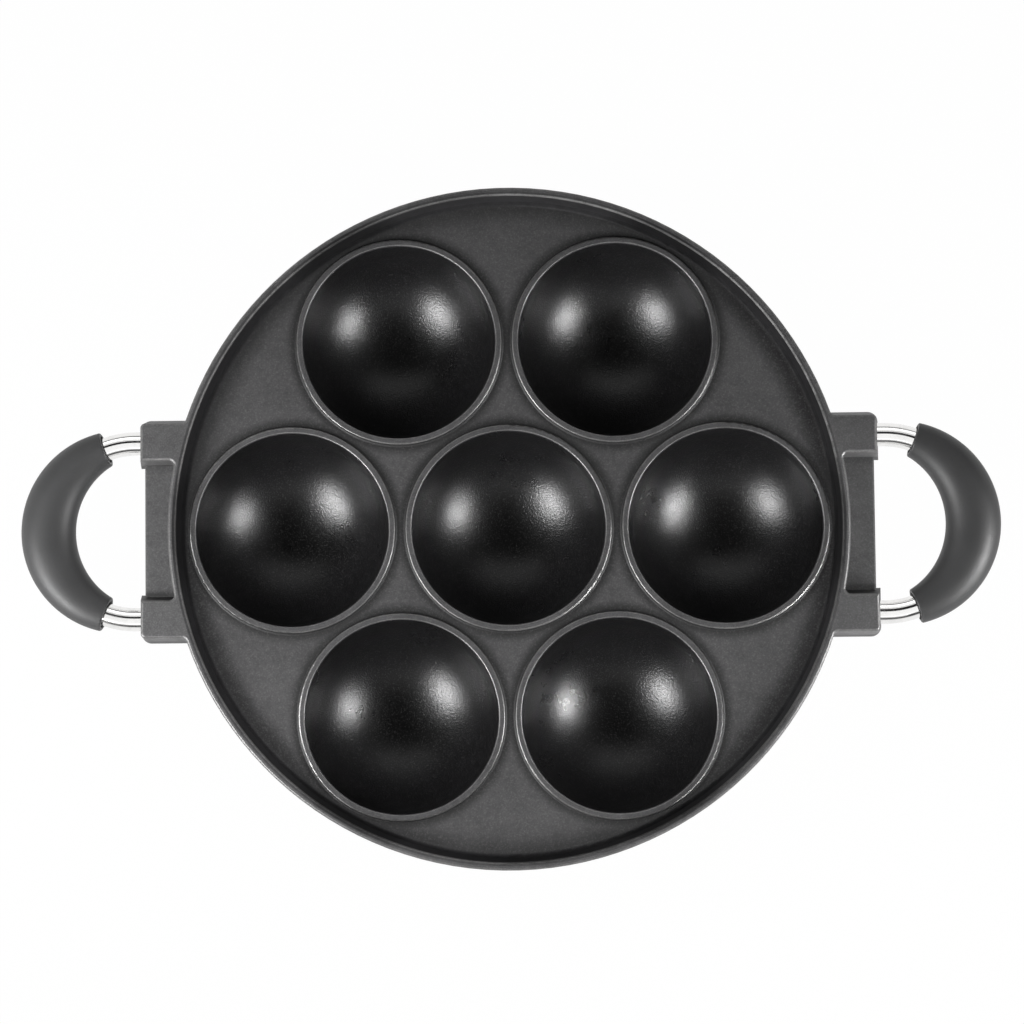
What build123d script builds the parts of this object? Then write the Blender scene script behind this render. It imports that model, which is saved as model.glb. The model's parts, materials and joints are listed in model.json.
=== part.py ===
# Aebleskiver pan: a shallow cast body with seven round cups, and a plated rod handle with a moulded grip on each side.
# Millimetres. The origin is the middle of the plane that the cup feet stand on, +Z is up and +X runs to the right.
import os
from math import cos, degrees, pi, radians, sin, sqrt, tan

from build123d import *

# Casting: cups
ROUND_CUP_COUNT = 6
CUP_MOUTH_RADIUS = 33.0
CUP_DEPTH = 30.0
CUP_WALL = 3.0
CUP_BOTTOM_THICKNESS = 4.0
CUP_GAP = 3.4
LIP_WIDTH = 2.2
LIP_HEIGHT = 2.0
LIP_EDGE_RADIUS = 0.6
LIP_ROOT_RADIUS = 0.9
UNDER_ROOT_RADIUS = 1.0
FOOT_RADIUS = 12.0
FOOT_CHAMFER = 0.5

# Casting: floor, wall and rim
FLOOR_THICKNESS = 4.0
FLOOR_MARGIN = 2.7
TRAY_DEPTH = 10.0
WALL_DRAFT_ANGLE = 4.0
WALL_CORNER_RADIUS = 1.4
RIM_WIDTH = 2.8
RIM_INNER_EDGE_RADIUS = 0.6
RIM_OUTER_EDGE_RADIUS = 1.1
UNDER_EDGE_RADIUS = 1.5

# Casting: lugs that hold the rods, and the web between each pair
LUG_PROJECTION = 9.0
LUG_SIDE_WALL = 2.3
LUG_DRAFT_ANGLE = 9.0
LUG_FAR_CORNER_RADIUS = 1.5
LUG_WEB_CORNER_RADIUS = 1.5
LUG_ROOT_RADIUS = 1.5
WEB_RISE = 1.0
WEB_THICKNESS = 5.0
WEB_EDGE_RADIUS = 0.8
SOCKET_END_WALL = 1.3
SOCKET_CLEARANCE = 0.1
SOCKET_END_CLEARANCE = 0.5

# Handle rod
ROD_RADIUS = 4.0
ROD_PITCH = 60.0
ROD_LEG = 2.8
ROD_END_CHAMFER = 0.6

# Grip
GRIP_HALF_ANGLE = 70.0
GRIP_MIDDLE_SIDE_WALL = 5.2
GRIP_MIDDLE_TOP_WALL = 4.2
GRIP_END_SIDE_WALL = 2.0
GRIP_END_TOP_WALL = 1.9
GRIP_END_EDGE_RADIUS = 0.5
GRIP_STATION_COUNT = 7
GRIP_CLEARANCE = 0.1
GRIP_MOUTH_CLEARANCE = 0.8
GRIP_MOUTH_DEPTH = 3.0

# Lug screw
SCREW_SETBACK = 6.0
SCREW_RADIUS = 2.0
SCREW_BITE = 5.4
SCREW_TIP_CHAMFER = 0.5
SCREW_HEAD_RADIUS = 3.9
SCREW_HEAD_HEIGHT = 2.6
SCREW_HEAD_EDGE_RADIUS = 1.2
SCREW_RECESS_LENGTH = 4.4
SCREW_RECESS_WIDTH = 0.9
SCREW_RECESS_DEPTH = 1.4
SCREW_HOLE_CLEARANCE = 0.25
SCREW_THREAD_CLEARANCE = 0.05
SCREW_TIP_CLEARANCE = 0.6

# Every cut runs past the face that it starts from by this much
OVERRUN = 1.0
# Faces closer than this in height count as level with each other
LEVEL_TOLERANCE = 0.001

# Heights above the feet
lip_top_z = CUP_BOTTOM_THICKNESS + CUP_DEPTH
floor_top_z = lip_top_z - LIP_HEIGHT
floor_middle_z = floor_top_z - FLOOR_THICKNESS / 2
floor_under_z = floor_top_z - FLOOR_THICKNESS
rim_top_z = floor_top_z + TRAY_DEPTH
lug_height = rim_top_z - floor_under_z
rod_z = rim_top_z - lug_height / 2
rod_under_z = rod_z - ROD_RADIUS
screw_tip_z = rod_under_z + SCREW_BITE
web_middle_z = floor_under_z + WEB_RISE + WEB_THICKNESS / 2

# Sizes in plan, from the cups outwards: the outer cups stand one gap from each other and from the middle cup
wall_lean = tan(radians(WALL_DRAFT_ANGLE))
lip_outer_radius = CUP_MOUTH_RADIUS + LIP_WIDTH
cup_spacing = 2 * lip_outer_radius + CUP_GAP
cup_ring_radius = cup_spacing / (2 * sin(pi / ROUND_CUP_COUNT))
tray_floor_radius = cup_ring_radius + lip_outer_radius + FLOOR_MARGIN
tray_mouth_radius = tray_floor_radius + TRAY_DEPTH * wall_lean
rim_radius = tray_mouth_radius + RIM_WIDTH
dish_under_radius = rim_radius - lug_height * wall_lean
lug_width = 2 * (ROD_RADIUS + LUG_SIDE_WALL)
lug_reach = rim_radius + LUG_PROJECTION
bend_radius = ROD_PITCH / 2
bend_x = lug_reach + ROD_LEG
screw_x = lug_reach - SCREW_SETBACK

# The sockets end short of the tray, where its wall comes nearest to them
socket_radius = ROD_RADIUS + SOCKET_CLEARANCE
socket_end_x = sqrt(tray_mouth_radius**2 - (bend_radius - socket_radius) ** 2) + SOCKET_END_WALL
rod_end_x = socket_end_x + SOCKET_END_CLEARANCE

# Each cup is part of a ball: its radius follows from the mouth and the depth
cup_radius = (CUP_MOUTH_RADIUS**2 + CUP_DEPTH**2) / (2 * CUP_DEPTH)
cup_centre_z = CUP_BOTTOM_THICKNESS + cup_radius
shell_radius = cup_radius + CUP_WALL
shell_foot_z = cup_centre_z - sqrt(shell_radius**2 - FOOT_RADIUS**2)
shell_floor_radius = sqrt(shell_radius**2 - (cup_centre_z - floor_middle_z) ** 2)

SIDES = {"right": 1, "left": -1}
ROWS = {"rear": 1, "front": -1}


def side_plane(side, height):
    """The level plane at a height whose x axis points out to one side of the pan: 1 is right, -1 is left."""
    return Plane(origin=(0, 0, height), x_dir=(side, 0, 0), z_dir=(0, 0, 1))


def rod_pair(x):
    """The places of the two legs of a rod, at a distance out from the middle of the pan."""
    return Locations((x, bend_radius), (x, -bend_radius))


def cup_places():
    """The place of the middle cup and the places of the cups round it."""
    return Locations(Location((0, 0, 0)), *PolarLocations(cup_ring_radius, ROUND_CUP_COUNT).locations)


def bend_plane(side, angle):
    """The plane across a rod's bend, this many degrees round from the outermost point of the bend."""
    turn = radians(angle)
    return Plane(
        origin=(side * (bend_x + bend_radius * cos(turn)), side * bend_radius * sin(turn), rod_z),
        x_dir=(side * cos(turn), side * sin(turn), 0),
        z_dir=(-side * sin(turn), side * cos(turn), 0),
    )


def level_faces(part, height):
    """The level faces of a part at one height, the smallest first."""
    low, high = height - LEVEL_TOLERANCE, height + LEVEL_TOLERANCE
    return part.faces().filter_by(Plane.XY).filter_by_position(Axis.Z, low, high).sort_by(SortBy.AREA)


# Outside of one cup: its flat foot, its bowl up into the floor, and its lip
with BuildPart() as cup_body:
    with BuildSketch(Plane.XZ):
        with BuildLine():
            Polyline((0, lip_top_z), (0, 0), (FOOT_RADIUS, 0), (FOOT_RADIUS, shell_foot_z))
            RadiusArc((FOOT_RADIUS, shell_foot_z), (shell_floor_radius, floor_middle_z), -shell_radius)
            Polyline(
                (shell_floor_radius, floor_middle_z),
                (lip_outer_radius, floor_middle_z),
                (lip_outer_radius, lip_top_z),
                (0, lip_top_z),
            )
        make_face()
    revolve(axis=Axis.Z)

# Hollow of one cup
with BuildPart() as cup_hollow:
    with BuildSketch(Plane.XZ):
        with BuildLine():
            Line((0, lip_top_z), (0, CUP_BOTTOM_THICKNESS))
            RadiusArc((0, CUP_BOTTOM_THICKNESS), (CUP_MOUTH_RADIUS, lip_top_z), -cup_radius)
            Line((CUP_MOUTH_RADIUS, lip_top_z), (0, lip_top_z))
        make_face()
    revolve(axis=Axis.Z)

# Casting. A solid dish with its lugs comes first, and the tray is cut out of it afterwards
with BuildPart() as pan_casting:
    with BuildSketch(Plane.XZ):
        with BuildLine():
            Polyline(
                (0, floor_under_z),
                (dish_under_radius, floor_under_z),
                (rim_radius, rim_top_z),
                (0, rim_top_z),
                close=True,
            )
        make_face()
    revolve(axis=Axis.Z)

    # Lugs, each opposite pair made as one bar through the dish, drafted so that they are widest underneath
    with BuildSketch(Plane.XY.offset(rim_top_z)) as lugs:
        with rod_pair(0):
            Rectangle(2 * lug_reach, lug_width)
        far_corners = lugs.vertices().filter_by(lambda corner: abs(corner.Y) > bend_radius)
        web_corners = lugs.vertices().filter_by(lambda corner: abs(corner.Y) < bend_radius)
        fillet(far_corners, LUG_FAR_CORNER_RADIUS)
        fillet(web_corners, LUG_WEB_CORNER_RADIUS)
    extrude(amount=-lug_height, taper=-LUG_DRAFT_ANGLE)
    upright_edges = pan_casting.edges().filter_by(lambda edge: edge.bounding_box().size.Z > lug_height / 2)
    lug_roots = upright_edges.filter_by(
        lambda edge: abs(edge.center().X) < rim_radius and abs(edge.center().Y) > lug_width
    )
    fillet(lug_roots, LUG_ROOT_RADIUS)
    fillet(pan_casting.faces().sort_by(Axis.Z)[-1].edges(), RIM_OUTER_EDGE_RADIUS)
    fillet(pan_casting.faces().sort_by(Axis.Z)[0].edges(), UNDER_EDGE_RADIUS)

    # Web between the lugs of each pair, also made as one bar through the dish
    with BuildSketch(Plane.XZ) as web:
        with Locations((0, web_middle_z)):
            Rectangle(2 * lug_reach, WEB_THICKNESS)
        fillet(web.vertices(), WEB_EDGE_RADIUS)
    extrude(amount=bend_radius, both=True)

    # Tray
    with BuildSketch(Plane.XZ) as tray:
        with BuildLine():
            Polyline(
                (0, floor_top_z),
                (tray_floor_radius, floor_top_z),
                (tray_mouth_radius, rim_top_z),
                (tray_mouth_radius, rim_top_z + OVERRUN),
                (0, rim_top_z + OVERRUN),
                close=True,
            )
        make_face()
        fillet(tray.vertices().sort_by_distance((tray_floor_radius, floor_top_z))[0], WALL_CORNER_RADIUS)
    revolve(axis=Axis.Z, mode=Mode.SUBTRACT)
    fillet(level_faces(pan_casting, rim_top_z)[-1].inner_wires().edges(), RIM_INNER_EDGE_RADIUS)

    # Cups, with the roots and edges of their lips rounded
    with cup_places():
        add(cup_body.part)
    with cup_places():
        add(cup_hollow.part, mode=Mode.SUBTRACT)
    fillet(level_faces(pan_casting, floor_top_z)[-1].inner_wires().edges(), LIP_ROOT_RADIUS)
    fillet(level_faces(pan_casting, floor_under_z)[-1].inner_wires().edges(), UNDER_ROOT_RADIUS)
    fillet(level_faces(pan_casting, lip_top_z).filter_by(lambda face: face.inner_wires()).edges(), LIP_EDGE_RADIUS)
    chamfer(level_faces(pan_casting, 0).edges(), FOOT_CHAMFER)

    # Sockets for the rod ends, and the holes of the lug screws
    for side in SIDES.values():
        with BuildSketch(Plane(origin=(side * bend_x, 0, rod_z), x_dir=(0, side, 0), z_dir=(side, 0, 0))):
            with Locations((bend_radius, 0), (-bend_radius, 0)):
                Circle(socket_radius)
        extrude(amount=socket_end_x - bend_x, mode=Mode.SUBTRACT)
        with BuildSketch(side_plane(side, floor_under_z - OVERRUN)):
            with rod_pair(screw_x):
                Circle(SCREW_RADIUS + SCREW_HOLE_CLEARANCE)
        extrude(amount=rod_z - floor_under_z + OVERRUN, mode=Mode.SUBTRACT)
pan_casting.part.label = "pan_casting"

# Handle rods, each bent to a U and drilled from below for its two screws
handle_rods = {}
for side_name, side in SIDES.items():
    with BuildPart() as handle_rod:
        with BuildLine(side_plane(side, rod_z)):
            Line((rod_end_x, bend_radius), (bend_x, bend_radius))
            CenterArc((bend_x, 0), bend_radius, 90, -180)
            Line((bend_x, -bend_radius), (rod_end_x, -bend_radius))
        with BuildSketch(Plane(origin=(side * rod_end_x, side * bend_radius, rod_z), z_dir=(side, 0, 0))):
            Circle(ROD_RADIUS)
        sweep()
        chamfer(handle_rod.faces().filter_by(GeomType.PLANE).edges(), ROD_END_CHAMFER)
        with BuildSketch(side_plane(side, rod_under_z - OVERRUN)):
            with rod_pair(screw_x):
                Circle(SCREW_RADIUS + SCREW_THREAD_CLEARANCE)
        extrude(amount=OVERRUN + SCREW_BITE + SCREW_TIP_CLEARANCE, mode=Mode.SUBTRACT)
    handle_rod.part.label = f"{side_name}_handle_rod"
    handle_rods[handle_rod.part.label] = handle_rod

# Grips, moulded round the bends: full in the middle and slimmer at both ends
grips = {}
end_share = cos(radians(GRIP_HALF_ANGLE))
mouth_angle = degrees(GRIP_MOUTH_DEPTH / bend_radius)
overrun_angle = degrees(OVERRUN / bend_radius)
for side_name, side in SIDES.items():
    with BuildPart() as grip:
        for station in range(GRIP_STATION_COUNT):
            angle = GRIP_HALF_ANGLE * (2 * station / (GRIP_STATION_COUNT - 1) - 1)
            fullness = (cos(radians(angle)) - end_share) / (1 - end_share)
            side_wall = GRIP_END_SIDE_WALL + fullness * (GRIP_MIDDLE_SIDE_WALL - GRIP_END_SIDE_WALL)
            top_wall = GRIP_END_TOP_WALL + fullness * (GRIP_MIDDLE_TOP_WALL - GRIP_END_TOP_WALL)
            with BuildSketch(bend_plane(side, angle)):
                Ellipse(ROD_RADIUS + side_wall, ROD_RADIUS + top_wall)
        loft()
        fillet(grip.faces().filter_by(GeomType.PLANE).edges(), GRIP_END_EDGE_RADIUS)
        reach = GRIP_HALF_ANGLE + overrun_angle
        mouth_start = GRIP_HALF_ANGLE - mouth_angle
        mouth_radius = ROD_RADIUS + GRIP_MOUTH_CLEARANCE
        bore = (ROD_RADIUS + GRIP_CLEARANCE, -reach, reach)
        mouths = [(mouth_radius, mouth_start, reach), (mouth_radius, -reach, -mouth_start)]
        for radius, start, end in (bore, *mouths):
            with BuildLine(side_plane(side, rod_z)):
                CenterArc((bend_x, 0), bend_radius, start, end - start)
            with BuildSketch(bend_plane(side, start)):
                Circle(radius)
            sweep(mode=Mode.SUBTRACT)
    grip.part.label = f"{side_name}_grip"
    grips[grip.part.label] = grip

# Lug screws, driven up from below through the lug and into the rod
lug_screws = {}
for side_name, side in SIDES.items():
    for row_name, row in ROWS.items():
        with BuildPart() as lug_screw:
            with BuildSketch(Plane(origin=(side * screw_x, row * bend_radius, floor_under_z))):
                Circle(SCREW_HEAD_RADIUS)
            extrude(amount=-SCREW_HEAD_HEIGHT)
            fillet(lug_screw.edges().sort_by(Axis.Z)[0], SCREW_HEAD_EDGE_RADIUS)
            with BuildSketch(lug_screw.faces().sort_by(Axis.Z)[0]):
                Rectangle(SCREW_RECESS_LENGTH, SCREW_RECESS_WIDTH)
                Rectangle(SCREW_RECESS_WIDTH, SCREW_RECESS_LENGTH)
            extrude(amount=-SCREW_RECESS_DEPTH, mode=Mode.SUBTRACT)
            with BuildSketch(Plane(origin=(side * screw_x, row * bend_radius, floor_under_z))):
                Circle(SCREW_RADIUS)
            extrude(amount=screw_tip_z - floor_under_z)
            chamfer(lug_screw.edges().sort_by(Axis.Z)[-1], SCREW_TIP_CHAMFER)
        lug_screw.part.label = f"{side_name}_{row_name}_screw"
        lug_screws[lug_screw.part.label] = lug_screw

os.makedirs("parts", exist_ok=True)
export_step(pan_casting.part, "parts/pan_casting.step")
for pieces in (handle_rods, grips, lug_screws):
    for name, piece in pieces.items():
        export_step(piece.part, f"parts/{name}.step")
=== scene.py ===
"""Looks of an aebleskiver pan: a coated casting with seven cups, and a handle on each side.

Each handle has a plated rod, a moulded grip and two screws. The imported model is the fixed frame,
and every shape stays as it is there. This script gives each piece its finish, and sets the floor,
the lamps and the camera of the photograph.
"""

import json
import logging
import math
from dataclasses import dataclass, field
from enum import Enum
from functools import reduce

import bpy
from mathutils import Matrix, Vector


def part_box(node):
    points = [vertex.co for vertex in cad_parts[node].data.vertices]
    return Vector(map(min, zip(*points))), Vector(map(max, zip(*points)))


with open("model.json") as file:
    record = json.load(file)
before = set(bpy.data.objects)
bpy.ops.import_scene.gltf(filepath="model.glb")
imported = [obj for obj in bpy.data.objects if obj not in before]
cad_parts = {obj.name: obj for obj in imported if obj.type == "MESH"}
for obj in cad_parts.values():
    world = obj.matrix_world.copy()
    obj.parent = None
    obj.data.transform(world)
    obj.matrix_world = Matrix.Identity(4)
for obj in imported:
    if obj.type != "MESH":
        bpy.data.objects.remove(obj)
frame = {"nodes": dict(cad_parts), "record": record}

LOG = logging.getLogger("aebleskiver_pan")

# One millimetre in metres, and millimetres in a metre
MM = 0.001
PER_METRE = 1000.0

RODS = ("left_handle_rod", "right_handle_rod")

Socket = bpy.types.NodeSocket
Value = float | tuple | Socket
Colour = tuple[float, float, float]
Direction = tuple[float, float, float]

# Where a change starts and where it ends
Span = tuple[float, float]

ORIGIN = (0.0, 0.0, 0.0)
WHITE = (1.0, 1.0, 1.0)


def opaque(colour: Colour) -> tuple[float, float, float, float]:
    """Gives a colour with full opacity, as colour sockets hold it."""
    return (*colour, 1.0)


@dataclass(frozen=True)
class Wiring:
    """Adds nodes to one node tree and joins their sockets."""

    tree: bpy.types.NodeTree

    def feed(self, socket: Socket, value: Value) -> None:
        """Links a socket to another one, or sets the value that it holds."""
        if isinstance(value, Socket):
            self.tree.links.new(value, socket)
        else:
            socket.default_value = value

    def add(self, kind: str, settings: dict | None = None,
            inputs: dict | None = None) -> bpy.types.Node:
        """Adds one node.

        Args:
            kind: The node's Blender type.
            settings: Options of the node, by name.
            inputs: Values or sockets for its inputs, by name or place.

        Returns:
            The new node.
        """
        node = self.tree.nodes.new(kind)
        for name, value in (settings or {}).items():
            setattr(node, name, value)
        for name, value in (inputs or {}).items():
            self.feed(node.inputs[name], value)
        return node

    def math(self, operation: str, *values: Value) -> Socket:
        """Works out one sum on numbers and gives its result."""
        node = self.add("ShaderNodeMath", {"operation": operation}, dict(enumerate(values)))
        return node.outputs[0]

    def times(self, *values: Value) -> Socket:
        """Multiplies two or more numbers."""
        return reduce(lambda first, second: self.math("MULTIPLY", first, second), values)

    def largest(self, *values: Value) -> Socket:
        """Gives the largest of two or more numbers."""
        return reduce(lambda first, second: self.math("MAXIMUM", first, second), values)

    def rest(self, mask: Value) -> Socket:
        """Gives the mask of what another mask leaves out."""
        return self.math("SUBTRACT", 1.0, mask)

    def vector(self, operation: str, first: Value, second: Value) -> bpy.types.Node:
        """Adds a vector sum, which may give a vector or a number."""
        return self.add("ShaderNodeVectorMath", {"operation": operation}, {0: first, 1: second})

    def ramp(self, value: Value, start: float, end: float, low: float = 0.0,
             high: float = 1.0) -> Socket:
        """Goes smoothly from low to high while a value goes from start to end."""
        node = self.add("ShaderNodeMapRange", {"interpolation_type": "SMOOTHSTEP"}, {
            "Value": value, "From Min": start, "From Max": end, "To Min": low, "To Max": high})
        return node.outputs[0]

    def fade(self, value: Value, size: float, span: Span, high: float = 1.0) -> Socket:
        """Goes smoothly from 0 to high over a span that is counted from a size of the object."""
        return self.ramp(value, size + span[0], size + span[1], high=high)

    def mix(self, share: Value, first: Value, second: Value) -> Socket:
        """Mixes two colours."""
        node = self.add("ShaderNodeMix", {"data_type": "RGBA"})
        colours = [socket for socket in node.inputs if socket.type == "RGBA"]
        self.feed(node.inputs[0], share)
        self.feed(colours[0], first)
        self.feed(colours[1], second)
        return next(socket for socket in node.outputs if socket.type == "RGBA")

    def blend(self, share: Value, first: Value, second: Value) -> Socket:
        """Mixes two numbers."""
        node = self.add("ShaderNodeMix", {"data_type": "FLOAT"}, {0: share, 2: first, 3: second})
        return node.outputs[0]

    def scale(self, value: Value, factor: Value) -> Socket:
        """Multiplies a colour or a place by a number."""
        node = self.vector("SCALE", value, ORIGIN)
        self.feed(node.inputs["Scale"], factor)
        return node.outputs[0]

    def noise(self, place: Value, size: Value, detail: float = 2.0,
              roughness: float = 0.5) -> Socket:
        """Gives soft noise from 0 to 1 whose patches are about as large as size."""
        node = self.add("ShaderNodeTexNoise", {"noise_dimensions": "3D"}, {
            "Vector": place, "Scale": self.math("DIVIDE", 1.0, size), "Detail": detail,
            "Roughness": roughness})
        return node.outputs[0]

    def place_in_mm(self) -> Socket:
        """Gives the point of the object that is being shaded, in millimetres."""
        return self.scale(self.add("ShaderNodeTexCoord").outputs["Object"], PER_METRE)


class Group(Enum):
    """The effects that more than one finish uses, each a shared node group."""

    GRAIN = "fine grain"
    MOTTLE = "soft mottle"
    MARKS = "handling marks"


class SharedGroups:
    """Builds each shared node group once and places it in materials."""

    # Grain: how many times coarser its coarse part is, the noise's middle, and the tone's contrast
    COARSENESS = 2.9
    NOISE_MIDDLE = 0.5
    GRAIN_CONTRAST = 2.0
    # Mottle: the levels of the noise that are darkest and lightest
    MOTTLE_LEVELS = (0.32, 0.68)
    # Marks: the size of a streak in sizes of a patch, and the share of the streaks
    STREAK_SIZE = 0.17
    STREAK_SHARE = 0.3
    # Marks: the level where they start when nothing is covered, how far full cover lowers it, and
    # the span over which they come in
    MARK_LEVEL = 0.75
    COVER_DROP = 0.5
    MARK_SPAN = (-0.06, 0.09)

    def __init__(self) -> None:
        """Builds every group."""
        self.groups = {Group.GRAIN: self.build_grain(), Group.MOTTLE: self.build_mottle(),
                       Group.MARKS: self.build_marks()}

    @staticmethod
    def new_group(effect: Group, inputs: dict[str, float],
                  outputs: list[str]) -> tuple[Wiring, bpy.types.Node, bpy.types.Node]:
        """Starts a group that takes a place and named numbers and gives named numbers.

        Args:
            effect: The effect that the group makes.
            inputs: Its number inputs with their usual values.
            outputs: The names of its number outputs.

        Returns:
            The wiring of the group, its input node and its output node.
        """
        tree = bpy.data.node_groups.new(effect.value, "ShaderNodeTree")
        tree.interface.new_socket("Place", in_out="INPUT", socket_type="NodeSocketVector")
        for name, usual in inputs.items():
            number = tree.interface.new_socket(name, in_out="INPUT", socket_type="NodeSocketFloat")
            number.default_value = usual
        for name in outputs:
            tree.interface.new_socket(name, in_out="OUTPUT", socket_type="NodeSocketFloat")
        return Wiring(tree), tree.nodes.new("NodeGroupInput"), tree.nodes.new("NodeGroupOutput")

    def build_grain(self) -> bpy.types.NodeTree:
        """Grain of a sprayed or moulded skin: a height and a tone, both round zero."""
        wiring, given, result = self.new_group(
            Group.GRAIN, {"Size": 0.5, "Coarse share": 0.4}, ["Height", "Tone"])
        place, size = given.outputs["Place"], given.outputs["Size"]
        fine = wiring.math("SUBTRACT", wiring.noise(place, size, detail=1.5), self.NOISE_MIDDLE)
        coarse = wiring.noise(place, wiring.times(size, self.COARSENESS))
        coarse = wiring.math("SUBTRACT", coarse, self.NOISE_MIDDLE)
        height = wiring.blend(given.outputs["Coarse share"], fine, coarse)
        wiring.feed(result.inputs["Height"], height)
        wiring.feed(result.inputs["Tone"], wiring.times(fine, self.GRAIN_CONTRAST))
        return wiring.tree

    def build_mottle(self) -> bpy.types.NodeTree:
        """Slow changes of tone over a surface, as a number from -1 to 1."""
        wiring, given, result = self.new_group(Group.MOTTLE, {"Size": 20.0}, ["Tone"])
        cloud = wiring.noise(given.outputs["Place"], given.outputs["Size"], detail=4.0,
                             roughness=0.55)
        wiring.feed(result.inputs["Tone"], wiring.ramp(cloud, *self.MOTTLE_LEVELS, -1.0, 1.0))
        return wiring.tree

    def build_marks(self) -> bpy.types.NodeTree:
        """Smears and rubbed patches left by hands and cloths, as a mask from 0 to 1."""
        wiring, given, result = self.new_group(
            Group.MARKS, {"Size": 12.0, "Cover": 0.4}, ["Mask"])
        place, size = given.outputs["Place"], given.outputs["Size"]
        patches = wiring.noise(place, size, detail=5.0, roughness=0.6)
        streaks = wiring.noise(place, wiring.times(size, self.STREAK_SIZE))
        both = wiring.blend(self.STREAK_SHARE, patches, streaks)
        drop = wiring.times(given.outputs["Cover"], self.COVER_DROP)
        start = wiring.math("SUBTRACT", self.MARK_LEVEL, drop)
        over = wiring.math("SUBTRACT", both, start)
        wiring.feed(result.inputs["Mask"], wiring.ramp(over, *self.MARK_SPAN))
        return wiring.tree

    def place(self, wiring: Wiring, effect: Group, place: Socket,
              **inputs: float) -> bpy.types.Node:
        """Places one group in a material.

        Args:
            wiring: The wiring of the material.
            effect: Which effect to place.
            place: The point that is being shaded, in millimetres.
            **inputs: The group's numbers, by name, with _ for a space.

        Returns:
            The group's node, whose outputs carry the effect.
        """
        node = wiring.add("ShaderNodeGroup", {"node_tree": self.groups[effect]}, {"Place": place})
        for name, value in inputs.items():
            wiring.feed(node.inputs[name.replace("_", " ").capitalize()], value)
        return node


@dataclass(frozen=True)
class Skin:
    """What changes over one surface, ready for the Principled shader."""

    colour: Value
    roughness: Value
    height: Value
    metallic: Value = 0.0


@dataclass(frozen=True)
class Finish:
    """What every finish has: its specular level and a way to build its surface."""

    specular_level: float

    def skin(self, wiring: Wiring, groups: SharedGroups) -> Skin:
        """Builds the nodes of the surface. Each finish has its own."""
        raise NotImplementedError


def dress(name: str, finish: Finish, groups: SharedGroups) -> bpy.types.Material:
    """Makes one material from a finish.

    Args:
        name: The material's name.
        finish: The finish that says how the surface changes.
        groups: The shared node groups.

    Returns:
        The new material.
    """
    material = bpy.data.materials.new(name)
    material.use_nodes = True
    material.node_tree.nodes.clear()
    wiring = Wiring(material.node_tree)
    skin = finish.skin(wiring, groups)
    bump = wiring.add("ShaderNodeBump", inputs={"Height": skin.height, "Distance": MM})
    shader = wiring.add("ShaderNodeBsdfPrincipled", inputs={
        "Base Color": skin.colour, "Roughness": skin.roughness, "Metallic": skin.metallic,
        "Specular IOR Level": finish.specular_level, "Normal": bump.outputs["Normal"]})
    output = wiring.add("ShaderNodeOutputMaterial")
    wiring.feed(output.inputs["Surface"], shader.outputs[0])
    return material


@dataclass(frozen=True)
class Casting:
    """Sizes of the casting in millimetres, for the masks that pick its zones.

    The pan's middle lies at the origin, and the feet at height 0. The web between two lugs is as
    high as the cups' lips, and the lugs are as high as the rim.
    """

    cup_middles: tuple[tuple[float, float], ...]
    rim_top: float
    cup_radius: float = 33.15
    cup_middle_height: float = 37.15
    lip_outer_radius: float = 35.2
    lip_top: float = 34.0
    tray_radius: float = 112.4
    lug_foot: float = 22.4
    lug_far_foot: float = 37.6
    # How far to the rear of its foot the middle of a lug's sloping front face lies
    lug_face_lean: float = 0.7

    @classmethod
    def from_frame(cls) -> "Casting":
        """Reads the cups' places and the rim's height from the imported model."""
        mouths = [opening["box_m"] for opening in frame["record"]["physics"]["openings"]
                  if opening["name"].endswith("cup_mouth")]
        middles = tuple(((low[0] + high[0]) / 2 * PER_METRE, (low[1] + high[1]) / 2 * PER_METRE)
                        for low, high in mouths)
        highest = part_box("pan_casting")[1]
        return cls(middles, rim_top=highest[2] * PER_METRE)


@dataclass(frozen=True)
class Fades:
    """Where each mask of the casting starts and where it is full, in millimetres past a size."""

    # Past the radius of a cup's ball
    hollow: Span = (0.3, 0.05)
    # Past a lip's outer radius: the lip, and painted shade round it and on the wall near the cup
    lip_side: Span = (0.5, 0.1)
    lip_corner: Span = (4.6, 0.4)
    near_cup: Span = (8.0, 3.5)
    # Past the height of the lips and the web
    lip_height: Span = (-0.8, -0.3)
    web_height: Span = (-1.5, -0.7)
    tray_height: Span = (-0.3, -1.4)
    web_corner: Span = (0.9, 0.3)
    above_web: Span = (0.5, 1.2)
    # Past the height of the rim and the lugs
    land_height: Span = (-1.3, -0.6)
    below_lug_top: Span = (-0.6, -1.1)
    # Past the height of any level top: the round edge below it
    round_edge: Span = (-0.005, -0.06)
    # Past the tray's radius
    inside: Span = (1.5, 1.0)
    wall: Span = (-2.9, -1.2)
    # Painted shade by the wall, then the painted shadow beside it
    wall_corner: Span = (-10.2, -1.2)
    near_wall: Span = (-10.5, -4.5)
    # Past the pan's middle, to the right and to the front left, where the painted shadow lies
    right_part: Span = (45.0, 90.0)
    front_left_part: Span = (68.0, 102.0)
    # Past a lug's inner foot, to the rear: both ends of the painted shade at a front and a rear lug
    front_lug_rear_end: Span = (2.6, 0.9)
    front_lug_front_end: Span = (-1.6, -1.3)
    rear_lug_front_end: Span = (-3.7, -0.4)
    rear_lug_rear_end: Span = (0.5, 0.2)
    # Past the middle of a lug's sloping front face, either way: its painted highlight
    lit_lug_face: Span = (1.1, 0.7)
    # Past height 0
    foot: Span = (0.35, 0.1)
    # The painted shade low in each cup
    cup_bottom: Span = (12.0, 4.5)


@dataclass(frozen=True)
class Spot:
    """Where the point of the casting lies that is being shaded, in millimetres.

    Its level place is the point at height 0, and its reach is how far that is from the pan's
    middle. The last two are its distances from the nearest cup's upright axis and from the middle
    of that cup's ball.
    """

    place: Socket
    x: Socket
    y: Socket
    height: Socket
    level: Socket
    reach: Socket
    from_axis: Socket
    from_ball: Socket


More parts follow.
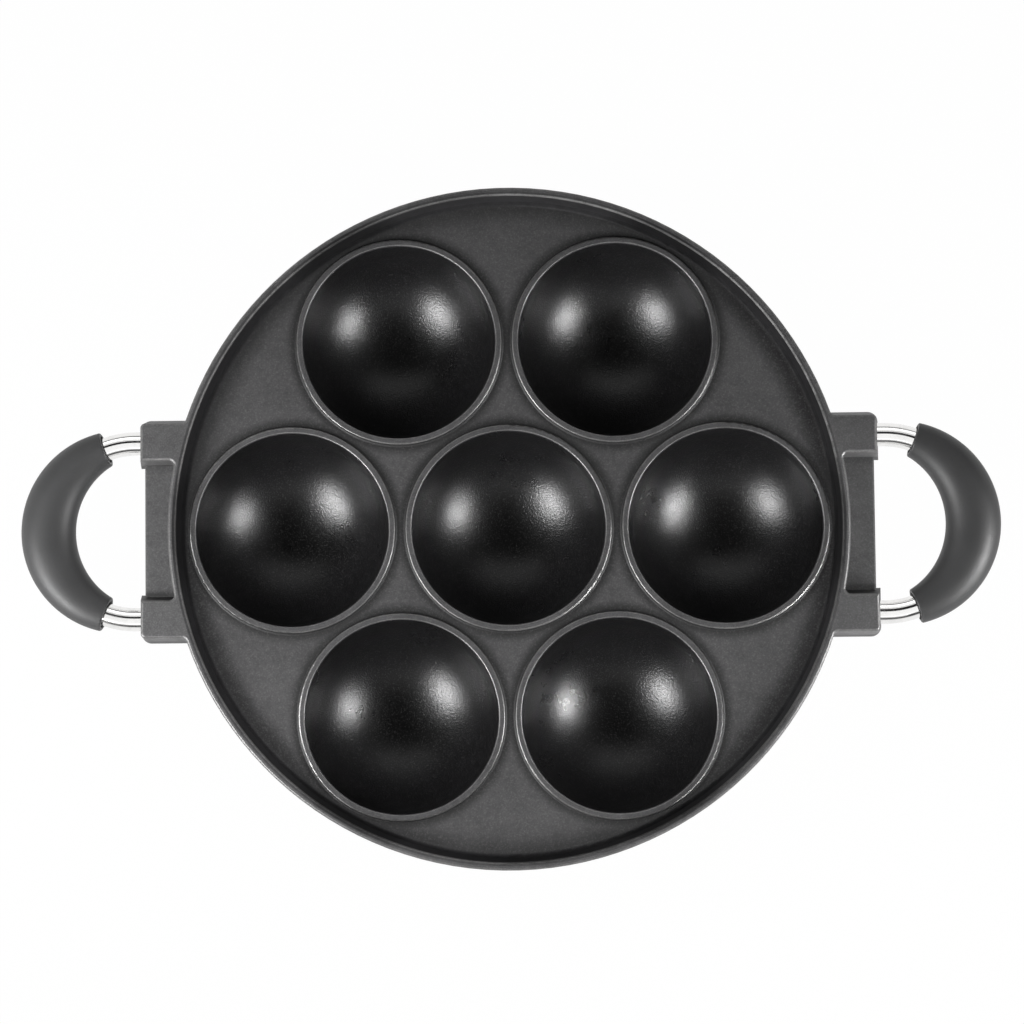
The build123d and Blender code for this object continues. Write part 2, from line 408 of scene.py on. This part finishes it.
@dataclass(frozen=True)
class Zones:
    """Masks from 0 to 1 that pick the zones of the casting."""

    hollow: Socket
    shaded_bottom: Socket
    lip: Socket
    land: Socket
    edge: Socket
    wall: Socket
    web: Socket
    shaded_corner: Socket
    wall_shadow: Socket
    root: Socket
    lit_lug_face: Socket
    foot: Socket


@dataclass(frozen=True, kw_only=True)
class CoatedCasting(Finish):
    """Dark sprayed coating on cast aluminium: glossier in the cups, rubbed on what stands proud."""

    casting: Casting
    fades: Fades = Fades()
    specular_level: float = 0.56
    floor_colour: Colour = (0.074, 0.0725, 0.0745)
    hollow_colour: Colour = (0.066, 0.0644, 0.069)
    # Painted shade: each cup darker towards its lowest point
    shaded_bottom_colour: Colour = (0.004, 0.0039, 0.0045)
    lip_colour: Colour = (0.088, 0.0868, 0.089)
    land_colour: Colour = (0.094, 0.0928, 0.0945)
    web_colour: Colour = (0.09, 0.0887, 0.0905)
    # Painted highlight on the lugs' sloping front faces, which face the lamps
    lug_face_highlight_colour: Colour = (0.155, 0.153, 0.1545)
    # Painted shade: the tray's wall is dark
    shaded_wall_colour: Colour = (0.033, 0.0322, 0.034)
    edge_colour: Colour = (0.24, 0.237, 0.235)
    bare_metal: Colour = (0.62, 0.61, 0.6)
    floor_roughness: float = 0.58
    hollow_roughness: float = 0.31
    land_roughness: float = 0.5
    edge_roughness: float = 0.38
    wall_roughness: float = 0.9
    foot_roughness: float = 0.34
    edge_metal_share: float = 0.5
    # Painted shade: a metallic share dims the tray's wall, which the glints would light
    wall_shade_metal_share: float = 0.8
    # Painted shadow beside the wall, darkened through a metallic share
    wall_shadow_metal_share: float = 0.6
    flake_share: float = 0.06
    flake_tone: float = 0.6
    rim_wear: float = 0.54
    # Painted shade: in corners, at the lugs' feet, by and on the wall, and at the rear lugs
    corner_shade: float = 0.8
    root_shade: float = 0.72
    wall_corner_share: float = 0.8
    wall_shade_near_cups: float = 0.7
    rear_root_share: float = 0.5
    # Where the painted shadow beside the wall lies, besides the right
    front_left: Direction = (-0.84, -0.54, 0.0)
    grain_size: float = 0.52
    grain_coarse_share: float = 0.2
    grain_height: float = 0.06
    hollow_grain_height: float = 0.125
    grain_change: float = 0.352
    mottle_change: float = 0.16
    mottle_sizes: tuple[float, ...] = (26.0, 5.0, 1.7)
    mottle_shares: tuple[float, ...] = (0.7, 0.5, 0.5)
    mark_size: float = 22.0
    mark_cover: float = 0.35
    mark_gloss: float = 0.04
    marked_edge_share: float = 0.75
    ring_pitch: float = 0.45
    ring_height: float = 0.006

    def skin(self, wiring: Wiring, groups: SharedGroups) -> Skin:
        """Builds the coating: its colours by zone, its grain, and the turned rings of the feet."""
        spot = self.spot(wiring)
        zones = self.zones(wiring, spot)
        grain = groups.place(wiring, Group.GRAIN, spot.place, size=self.grain_size,
                             coarse_share=self.grain_coarse_share)
        marks = groups.place(wiring, Group.MARKS, spot.place, size=self.mark_size,
                             cover=self.mark_cover).outputs["Mask"]
        rubbed = wiring.times(zones.edge, wiring.blend(marks, 1.0, self.marked_edge_share))
        flakes = wiring.times(wiring.ramp(grain.outputs["Tone"], 0.0, self.flake_tone),
                              self.flake_share, wiring.rest(zones.wall))

        # Painted shade on the tray's wall
        colour = wiring.mix(zones.wall, opaque(self.floor_colour), opaque(self.shaded_wall_colour))
        # Among these, painted shade low in the cups and a painted highlight on the lugs' faces
        for mask, tint in ((zones.web, self.web_colour), (zones.lit_lug_face, self.lug_face_highlight_colour),
                           (zones.land, self.land_colour), (zones.lip, self.lip_colour),
                           (zones.hollow, self.hollow_colour), (zones.shaded_bottom, self.shaded_bottom_colour),
                           (rubbed, self.edge_colour)):
            colour = wiring.mix(mask, colour, opaque(tint))
        tone = self.tone(wiring, groups, spot.place, zones, grain.outputs["Tone"])
        colour = wiring.scale(colour, tone)
        colour = wiring.mix(zones.foot, colour, opaque(self.bare_metal))
        colour = wiring.mix(flakes, colour, opaque(self.bare_metal))

        roughness = wiring.blend(wiring.largest(zones.lip, zones.land), self.floor_roughness,
                                 self.land_roughness)
        for mask, level in ((zones.wall, self.wall_roughness),
                            (zones.hollow, self.hollow_roughness), (rubbed, self.edge_roughness)):
            roughness = wiring.blend(mask, roughness, level)
        roughness = wiring.math("SUBTRACT", roughness, wiring.times(marks, self.mark_gloss))
        roughness = wiring.blend(zones.foot, roughness, self.foot_roughness)

        grain_height = wiring.blend(zones.hollow, self.grain_height, self.hollow_grain_height)
        bumps = wiring.times(grain.outputs["Height"], grain_height)
        turns = wiring.times(spot.from_axis, 2 * math.pi / self.ring_pitch)
        rings = wiring.times(wiring.math("SINE", turns), self.ring_height)
        bumps = wiring.blend(zones.foot, bumps, rings)

        # Metallic shares also darken the wall and the strip beside it: painted shade and shadow
        metallic = wiring.largest(flakes, wiring.times(rubbed, self.edge_metal_share),
                                  wiring.times(zones.wall, self.wall_shade_metal_share),
                                  wiring.times(zones.wall_shadow, self.wall_shadow_metal_share), zones.foot)
        return Skin(colour, roughness, bumps, metallic=metallic)

    def tone(self, wiring: Wiring, groups: SharedGroups, place: Socket, zones: Zones,
             grain: Socket) -> Socket:
        """Works out how much lighter or darker the coating is at each point.

        Args:
            wiring: The wiring of the material.
            groups: The shared node groups.
            place: The point that is being shaded, in millimetres.
            zones: The masks of the casting.
            grain: The tone of the grain, round zero.

        Returns:
            A factor for the colour: mottle, grain, and painted shade in corners and at lugs' feet.
        """
        tone = wiring.times(grain, self.grain_change)
        for size, share in zip(self.mottle_sizes, self.mottle_shares):
            mottle = groups.place(wiring, Group.MOTTLE, place, size=size).outputs["Tone"]
            tone = wiring.math("ADD", tone, wiring.times(mottle, self.mottle_change * share))
        # Painted shade in the tray's corners and at the lugs' feet
        dark = wiring.largest(wiring.times(zones.shaded_corner, self.corner_shade),
                              wiring.times(zones.root, self.root_shade))
        return wiring.times(wiring.rest(dark), wiring.math("ADD", tone, 1.0))

    def spot(self, wiring: Wiring) -> Spot:
        """Measures where the point that is being shaded lies."""
        place = wiring.place_in_mm()
        parts = wiring.add("ShaderNodeSeparateXYZ", inputs={0: place}).outputs
        level = wiring.vector("MULTIPLY", place, (1.0, 1.0, 0.0)).outputs[0]
        reach = wiring.vector("LENGTH", level, ORIGIN).outputs["Value"]
        from_axis = None
        for x, y in self.casting.cup_middles:
            distance = wiring.vector("DISTANCE", level, (x, y, 0.0)).outputs["Value"]
            from_axis = (distance if from_axis is None
                         else wiring.math("MINIMUM", from_axis, distance))
        rise = wiring.math("SUBTRACT", parts["Z"], self.casting.cup_middle_height)
        squares = wiring.math("ADD", wiring.times(from_axis, from_axis), wiring.times(rise, rise))
        from_ball = wiring.math("SQRT", squares)
        return Spot(place, parts["X"], parts["Y"], parts["Z"], level, reach, from_axis, from_ball)

    def zones(self, wiring: Wiring, spot: Spot) -> Zones:
        """Finds the zones of the casting.

        Args:
            wiring: The wiring of the material.
            spot: The point that is being shaded.

        Returns:
            The masks of the zones.
        """
        pan, fades = self.casting, self.fades
        hollow = wiring.fade(spot.from_ball, pan.cup_radius, fades.hollow)
        lip = wiring.times(wiring.fade(spot.from_axis, pan.lip_outer_radius, fades.lip_side),
                           wiring.fade(spot.height, pan.lip_top, fades.lip_height))
        land = wiring.fade(spot.height, pan.rim_top, fades.land_height)
        lip_edge = wiring.times(lip, wiring.fade(spot.height, pan.lip_top, fades.round_edge))
        rim_edge = wiring.times(land, wiring.fade(spot.height, pan.rim_top, fades.round_edge),
                                self.rim_wear)
        inside = wiring.fade(spot.reach, pan.tray_radius, fades.inside)
        outside = wiring.rest(inside)
        wall = wiring.times(wiring.fade(spot.reach, pan.tray_radius, fades.wall), inside)
        low = wiring.times(wiring.fade(spot.height, pan.lip_top, fades.tray_height), inside)
        shaded_corner, wall_shadow = self.painted_shade_masks(wiring, spot, wall, low)
        root, lit_lug_face = self.lug_zones(wiring, spot, outside)
        return Zones(
            hollow=hollow, lip=lip, land=land, wall=wall, shaded_corner=shaded_corner, wall_shadow=wall_shadow, root=root,
            lit_lug_face=lit_lug_face,
            shaded_bottom=wiring.times(hollow, wiring.fade(spot.height, 0.0, fades.cup_bottom)),
            edge=wiring.times(wiring.largest(lip_edge, rim_edge), wiring.rest(hollow)),
            web=wiring.times(outside, wiring.fade(spot.height, pan.lip_top, fades.web_height)),
            foot=wiring.fade(spot.height, 0.0, fades.foot))

    def painted_shade_masks(self, wiring: Wiring, spot: Spot, wall: Socket,
                 low: Socket) -> tuple[Socket, Socket]:
        """Finds the painted shade in the tray's corners and the painted shadow beside its wall.

        Args:
            wiring: The wiring of the material.
            spot: The point that is being shaded.
            wall: The mask of the tray's wall.
            low: The mask of what lies inside the tray, below the lips.

        Returns:
            The masks of the painted shade in the corners and of the painted shadow by the wall.
        """
        pan, fades = self.casting, self.fades
        # Painted shade: darker round the lips, by the wall, and on the wall near the cups
        by_lip = wiring.fade(spot.from_axis, pan.lip_outer_radius, fades.lip_corner)
        by_wall = wiring.fade(spot.reach, pan.tray_radius, fades.wall_corner,
                              high=self.wall_corner_share)
        by_cup = wiring.fade(spot.from_axis, pan.lip_outer_radius, fades.near_cup,
                             high=self.wall_shade_near_cups)
        shaded_corner = wiring.blend(wall, wiring.times(wiring.largest(by_lip, by_wall), low), by_cup)

        # Painted shadow of the wall on the right and the front left
        to_front_left = wiring.vector("DOT_PRODUCT", spot.level, self.front_left).outputs["Value"]
        parts = wiring.largest(wiring.fade(spot.x, 0.0, fades.right_part),
                               wiring.fade(to_front_left, 0.0, fades.front_left_part))
        near_wall = wiring.fade(spot.reach, pan.tray_radius, fades.near_wall)
        return shaded_corner, wiring.times(near_wall, parts, low)

    def lug_zones(self, wiring: Wiring, spot: Spot, outside: Socket) -> tuple[Socket, Socket]:
        """Finds the painted shade at the lugs' feet and the painted highlight on their front faces.

        Args:
            wiring: The wiring of the material.
            spot: The point that is being shaded.
            outside: The mask of what lies outside the tray.

        Returns:
            The masks of the painted shade and of the painted highlight.
        """
        pan, fades = self.casting, self.fades
        below_top = wiring.fade(spot.height, pan.rim_top, fades.below_lug_top)
        above_web = wiring.fade(spot.height, pan.lip_top, fades.above_web)
        # Painted shade on the web beside the front and the rear lugs
        front = wiring.times(wiring.fade(spot.y, -pan.lug_foot, fades.front_lug_rear_end),
                             wiring.fade(spot.y, -pan.lug_foot, fades.front_lug_front_end),
                             below_top)
        rear = wiring.times(wiring.fade(spot.y, pan.lug_foot, fades.rear_lug_front_end,
                                        high=self.rear_root_share),
                            wiring.fade(spot.y, pan.lug_foot, fades.rear_lug_rear_end),
                            wiring.fade(spot.height, pan.lip_top, fades.web_corner))
        # Painted highlight on the lugs' sloping front faces
        from_face = wiring.math("MINIMUM", *(
            wiring.math("ABSOLUTE", wiring.math("SUBTRACT", spot.y, foot + pan.lug_face_lean))
            for foot in (pan.lug_foot, -pan.lug_far_foot)))
        return (wiring.times(outside, wiring.largest(front, rear)),
                wiring.times(outside, wiring.fade(from_face, 0.0, fades.lit_lug_face), above_web,
                             below_top))


@dataclass(frozen=True)
class BrightPlating(Finish):
    """Bright chrome on a round steel rod, with a faint grain and finger marks."""

    specular_level: float = 0.5
    colour: Colour = (0.86, 0.855, 0.845)
    roughness: float = 0.09
    mark_size: float = 9.0
    mark_cover: float = 0.45
    mark_shade: float = 0.07
    mark_roughness: float = 0.07
    grain_size: float = 0.6
    grain_coarse_share: float = 0.5
    grain_height: float = 0.0025

    def skin(self, wiring: Wiring, groups: SharedGroups) -> Skin:
        """Builds the plating."""
        place = wiring.place_in_mm()
        marks = groups.place(wiring, Group.MARKS, place, size=self.mark_size,
                             cover=self.mark_cover).outputs["Mask"]
        grain = groups.place(wiring, Group.GRAIN, place, size=self.grain_size,
                             coarse_share=self.grain_coarse_share)
        tone = wiring.rest(wiring.times(marks, self.mark_shade))
        colour = wiring.scale(self.colour, tone)
        roughness = wiring.math("ADD", self.roughness, wiring.times(marks, self.mark_roughness))
        height = wiring.times(grain.outputs["Height"], self.grain_height)
        return Skin(colour, roughness, height, metallic=1.0)


@dataclass(frozen=True)
class MouldedPlastic(Finish):
    """Satin heat-resistant plastic, with the fine texture of its mould."""

    specular_level: float = 0.42
    colour: Colour = (0.058, 0.058, 0.059)
    roughness: float = 0.49
    texture_size: float = 0.6
    texture_coarse_share: float = 0.3
    texture_height: float = 0.05
    texture_change: float = 0.08
    mottle_size: float = 16.0
    mottle_change: float = 0.06
    mark_size: float = 14.0
    mark_cover: float = 0.4
    mark_gloss: float = 0.05

    def skin(self, wiring: Wiring, groups: SharedGroups) -> Skin:
        """Builds the plastic."""
        place = wiring.place_in_mm()
        grain = groups.place(wiring, Group.GRAIN, place, size=self.texture_size,
                             coarse_share=self.texture_coarse_share)
        mottle = groups.place(wiring, Group.MOTTLE, place, size=self.mottle_size).outputs["Tone"]
        marks = groups.place(wiring, Group.MARKS, place, size=self.mark_size,
                             cover=self.mark_cover).outputs["Mask"]
        tone = wiring.math("ADD", 1.0, wiring.times(mottle, self.mottle_change))
        tone = wiring.math("ADD", tone, wiring.times(grain.outputs["Tone"], self.texture_change))
        roughness = wiring.math("SUBTRACT", self.roughness, wiring.times(marks, self.mark_gloss))
        height = wiring.times(grain.outputs["Height"], self.texture_height)
        return Skin(wiring.scale(self.colour, tone), roughness, height)


@dataclass(frozen=True)
class ZincSteel(Finish):
    """Zinc-plated steel, slightly cloudy."""

    specular_level: float = 0.5
    colour: Colour = (0.56, 0.56, 0.58)
    roughness: float = 0.3
    mottle_size: float = 1.4
    mottle_change: float = 0.1
    mottle_roughness: float = 0.08
    grain_size: float = 0.25
    grain_coarse_share: float = 0.4
    grain_height: float = 0.006

    def skin(self, wiring: Wiring, groups: SharedGroups) -> Skin:
        """Builds the zinc."""
        place = wiring.place_in_mm()
        mottle = groups.place(wiring, Group.MOTTLE, place, size=self.mottle_size).outputs["Tone"]
        grain = groups.place(wiring, Group.GRAIN, place, size=self.grain_size,
                             coarse_share=self.grain_coarse_share)
        tone = wiring.math("ADD", 1.0, wiring.times(mottle, self.mottle_change))
        roughness = wiring.math("ADD", self.roughness,
                                wiring.times(mottle, self.mottle_roughness))
        height = wiring.times(grain.outputs["Height"], self.grain_height)
        return Skin(wiring.scale(self.colour, tone), roughness, height, metallic=1.0)


def wear(node: str, material: bpy.types.Material) -> None:
    """Gives a piece of the frame its material, in each of its slots."""
    for slot in frame["nodes"][node].material_slots:
        slot.material = material
    LOG.info("%s wears %s", node, material.name)


@dataclass
class CastPan:
    """The casting: tray, seven cups, rim and lugs in one piece."""

    groups: SharedGroups
    node: str = "pan_casting"
    casting: Casting = field(default_factory=Casting.from_frame)

    def build(self) -> None:
        """Dresses the casting in its coating."""
        wear(self.node, dress("dark coating", CoatedCasting(casting=self.casting), self.groups))


class Side(Enum):
    """The two sides of the pan."""

    LEFT = "left"
    RIGHT = "right"


@dataclass
class Handle:
    """One handle: its rod, its grip and its two screws."""

    side: Side
    plating: bpy.types.Material
    plastic: bpy.types.Material
    zinc: bpy.types.Material

    def build(self) -> None:
        """Dresses the handle's pieces."""
        wear(f"{self.side.value}_handle_rod", self.plating)
        wear(f"{self.side.value}_grip", self.plastic)
        for end in ("front", "rear"):
            wear(f"{self.side.value}_{end}_screw", self.zinc)


class Job(Enum):
    """What a lamp is for: light on matt surfaces, a highlight in each cup, or a dim reflection."""

    FILL = "fill"
    GLINT = "glint"
    CARD = "card"


@dataclass(frozen=True)
class Softbox:
    """A lamp that is aimed at the pan from a direction given by its angles in degrees.

    Its sizes are in metres. A fill lights matt surfaces alone, and the others show in glossy ones
    alone.
    """

    name: str
    job: Job
    azimuth: float
    elevation: float
    distance: float
    width: float
    height: float
    radiance: float
    only_nodes: tuple[str, ...] = ()

    def build(self, aim: Vector) -> None:
        """Adds the lamp, at its distance from the point that it is aimed at."""
        azimuth, elevation = math.radians(self.azimuth), math.radians(self.elevation)
        direction = Vector((math.cos(elevation) * math.cos(azimuth),
                            math.cos(elevation) * math.sin(azimuth), math.sin(elevation)))
        lamp = bpy.data.lights.new(self.name, "AREA")
        lamp.shape = "RECTANGLE"
        lamp.size, lamp.size_y = self.width, self.height
        lamp.energy = self.radiance * math.pi * self.width * self.height
        # A glint casts no shadow, so that the rim and the lips hide it in no cup
        lamp.use_shadow = self.job is not Job.GLINT
        lamp.cycles.use_multiple_importance_sampling = self.job is not Job.GLINT
        holder = bpy.data.objects.new(self.name, lamp)
        holder.location = aim + direction * self.distance
        holder.rotation_euler = direction.to_track_quat("Z", "Y").to_euler()
        holder.visible_camera = False
        holder.visible_diffuse = self.job is Job.FILL
        holder.visible_glossy = self.job is not Job.FILL
        bpy.context.scene.collection.objects.link(holder)
        if self.only_nodes:
            lit = bpy.data.collections.new(f"lit by {self.name}")
            for node in self.only_nodes:
                lit.objects.link(frame["nodes"][node])
            holder.light_linking.receiver_collection = lit


@dataclass
class Studio:
    """The floor, the light round it, the lamps and the camera of the photograph."""

    floor_radius: float = 12.0
    floor_corner_count: int = 64
    floor_colour: Colour = (0.9, 0.9, 0.9)
    floor_glow_share: float = 0.99
    zenith_light: float = 0.015
    upper_light: float = 0.07
    horizon_light: float = 1.0
    # How steeply a direction rises, from 0 to 1, where the light changes
    zenith_span: Span = (0.97, 0.74)
    horizon_span: Span = (0.3, 0.03)
    camera_place_mm: tuple[float, float, float] = (22.7, -31.0, 792.0)
    camera_turn_degrees: tuple[float, float, float] = (2.722, 1.648, -0.583)
    lens: float = 78.49
    sensor_width: float = 36.0
    aim: Vector = field(default_factory=lambda: Vector((0.0, 0.0, 35.0 * MM)))
    softboxes: tuple[Softbox, ...] = (
        Softbox("left glint", Job.GLINT, azimuth=210.5, elevation=27.5, distance=0.75,
                width=0.36, height=0.225, radiance=29.5),
        Softbox("right glint", Job.GLINT, azimuth=-17.8, elevation=19.6, distance=0.55,
                width=0.231, height=0.143, radiance=31.5),
        Softbox("front card", Job.CARD, azimuth=-92.0, elevation=38.0, distance=1.0,
                width=1.0, height=0.34, radiance=0.5),
        Softbox("rear card", Job.CARD, azimuth=92.0, elevation=34.0, distance=1.0,
                width=1.4, height=0.45, radiance=0.72),
        Softbox("left fill", Job.FILL, azimuth=190.6, elevation=38.4, distance=0.3,
                width=0.22, height=0.2, radiance=4.6),
        Softbox("right fill", Job.FILL, azimuth=-40.4, elevation=38.0, distance=0.3,
                width=0.22, height=0.2, radiance=3.85),
        Softbox("rod front card", Job.CARD, azimuth=-90.0, elevation=68.0, distance=0.7,
                width=1.6, height=0.8, radiance=1.05, only_nodes=RODS),
        Softbox("rod rear card", Job.CARD, azimuth=90.0, elevation=42.0, distance=0.8,
                width=1.6, height=0.6, radiance=0.8, only_nodes=RODS))

    def build(self) -> None:
        """Sets up everything that isn't part of the pan."""
        self.build_floor()
        self.build_world()
        for softbox in self.softboxes:
            softbox.build(self.aim)
        self.build_camera()
        bpy.context.scene.view_settings.view_transform = "Standard"

    def build_floor(self) -> None:
        """Adds the floor: white to the camera and in reflections, with the pan's soft shadow."""
        mesh = bpy.data.meshes.new("floor")
        turns = (2 * math.pi * step / self.floor_corner_count
                 for step in range(self.floor_corner_count))
        corners = [(self.floor_radius * math.cos(turn), self.floor_radius * math.sin(turn), 0.0)
                   for turn in turns]
        mesh.from_pydata(corners, [], [tuple(range(self.floor_corner_count))])
        floor = bpy.data.objects.new("floor", mesh)
        bpy.context.scene.collection.objects.link(floor)
        mesh.materials.append(self.floor_material())

    def floor_material(self) -> bpy.types.Material:
        """Makes the floor's material."""
        material = bpy.data.materials.new("pale floor")
        material.use_nodes = True
        material.node_tree.nodes.clear()
        wiring = Wiring(material.node_tree)
        rays = wiring.add("ShaderNodeLightPath").outputs
        seen = wiring.largest(rays["Is Camera Ray"], rays["Is Glossy Ray"],
                              rays["Is Transmission Ray"])
        share = wiring.times(seen, self.floor_glow_share)
        paint = wiring.add("ShaderNodeBsdfDiffuse", inputs={"Color": opaque(self.floor_colour)})
        glow = wiring.add("ShaderNodeEmission", inputs={"Color": opaque(WHITE), "Strength": 1.0})
        mixed = wiring.add("ShaderNodeMixShader",
                           inputs={0: share, 1: paint.outputs[0], 2: glow.outputs[0]})
        output = wiring.add("ShaderNodeOutputMaterial")
        wiring.feed(output.inputs["Surface"], mixed.outputs[0])
        return material

    def build_world(self) -> None:
        """Adds the room's light: white at the horizon, dim overhead where the camera hangs."""
        world = bpy.data.worlds.new("studio")
        world.use_nodes = True
        world.node_tree.nodes.clear()
        wiring = Wiring(world.node_tree)
        direction = wiring.add("ShaderNodeTexCoord").outputs["Generated"]
        rise = wiring.add("ShaderNodeSeparateXYZ", inputs={0: direction}).outputs["Z"]
        upper = wiring.ramp(rise, *self.zenith_span, self.zenith_light, self.upper_light)
        lower = wiring.ramp(rise, *self.horizon_span, 0.0, self.horizon_light - self.upper_light)
        background = wiring.add("ShaderNodeBackground", inputs={
            "Color": opaque(WHITE), "Strength": wiring.math("ADD", upper, lower)})
        output = wiring.add("ShaderNodeOutputWorld")
        wiring.feed(output.inputs["Surface"], background.outputs[0])
        bpy.context.scene.world = world

    def build_camera(self) -> None:
        """Adds the camera, which looks down on the pan."""
        data = bpy.data.cameras.new("camera")
        data.lens, data.sensor_width = self.lens, self.sensor_width
        camera = bpy.data.objects.new("camera", data)
        camera.location = Vector(self.camera_place_mm) * MM
        camera.rotation_euler = [math.radians(turn) for turn in self.camera_turn_degrees]
        bpy.context.scene.collection.objects.link(camera)
        bpy.context.scene.camera = camera


def main() -> None:
    """Builds the looks of the pan round the frame, and the studio."""
    logging.basicConfig(level=logging.INFO, format="%(message)s")
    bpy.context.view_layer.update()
    groups = SharedGroups()
    CastPan(groups).build()
    plating = dress("bright plating", BrightPlating(), groups)
    plastic = dress("moulded plastic", MouldedPlastic(), groups)
    zinc = dress("zinc steel", ZincSteel(), groups)
    for side in Side:
        Handle(side, plating, plastic, zinc).build()
    Studio().build()


if __name__ == "__main__":
    main()
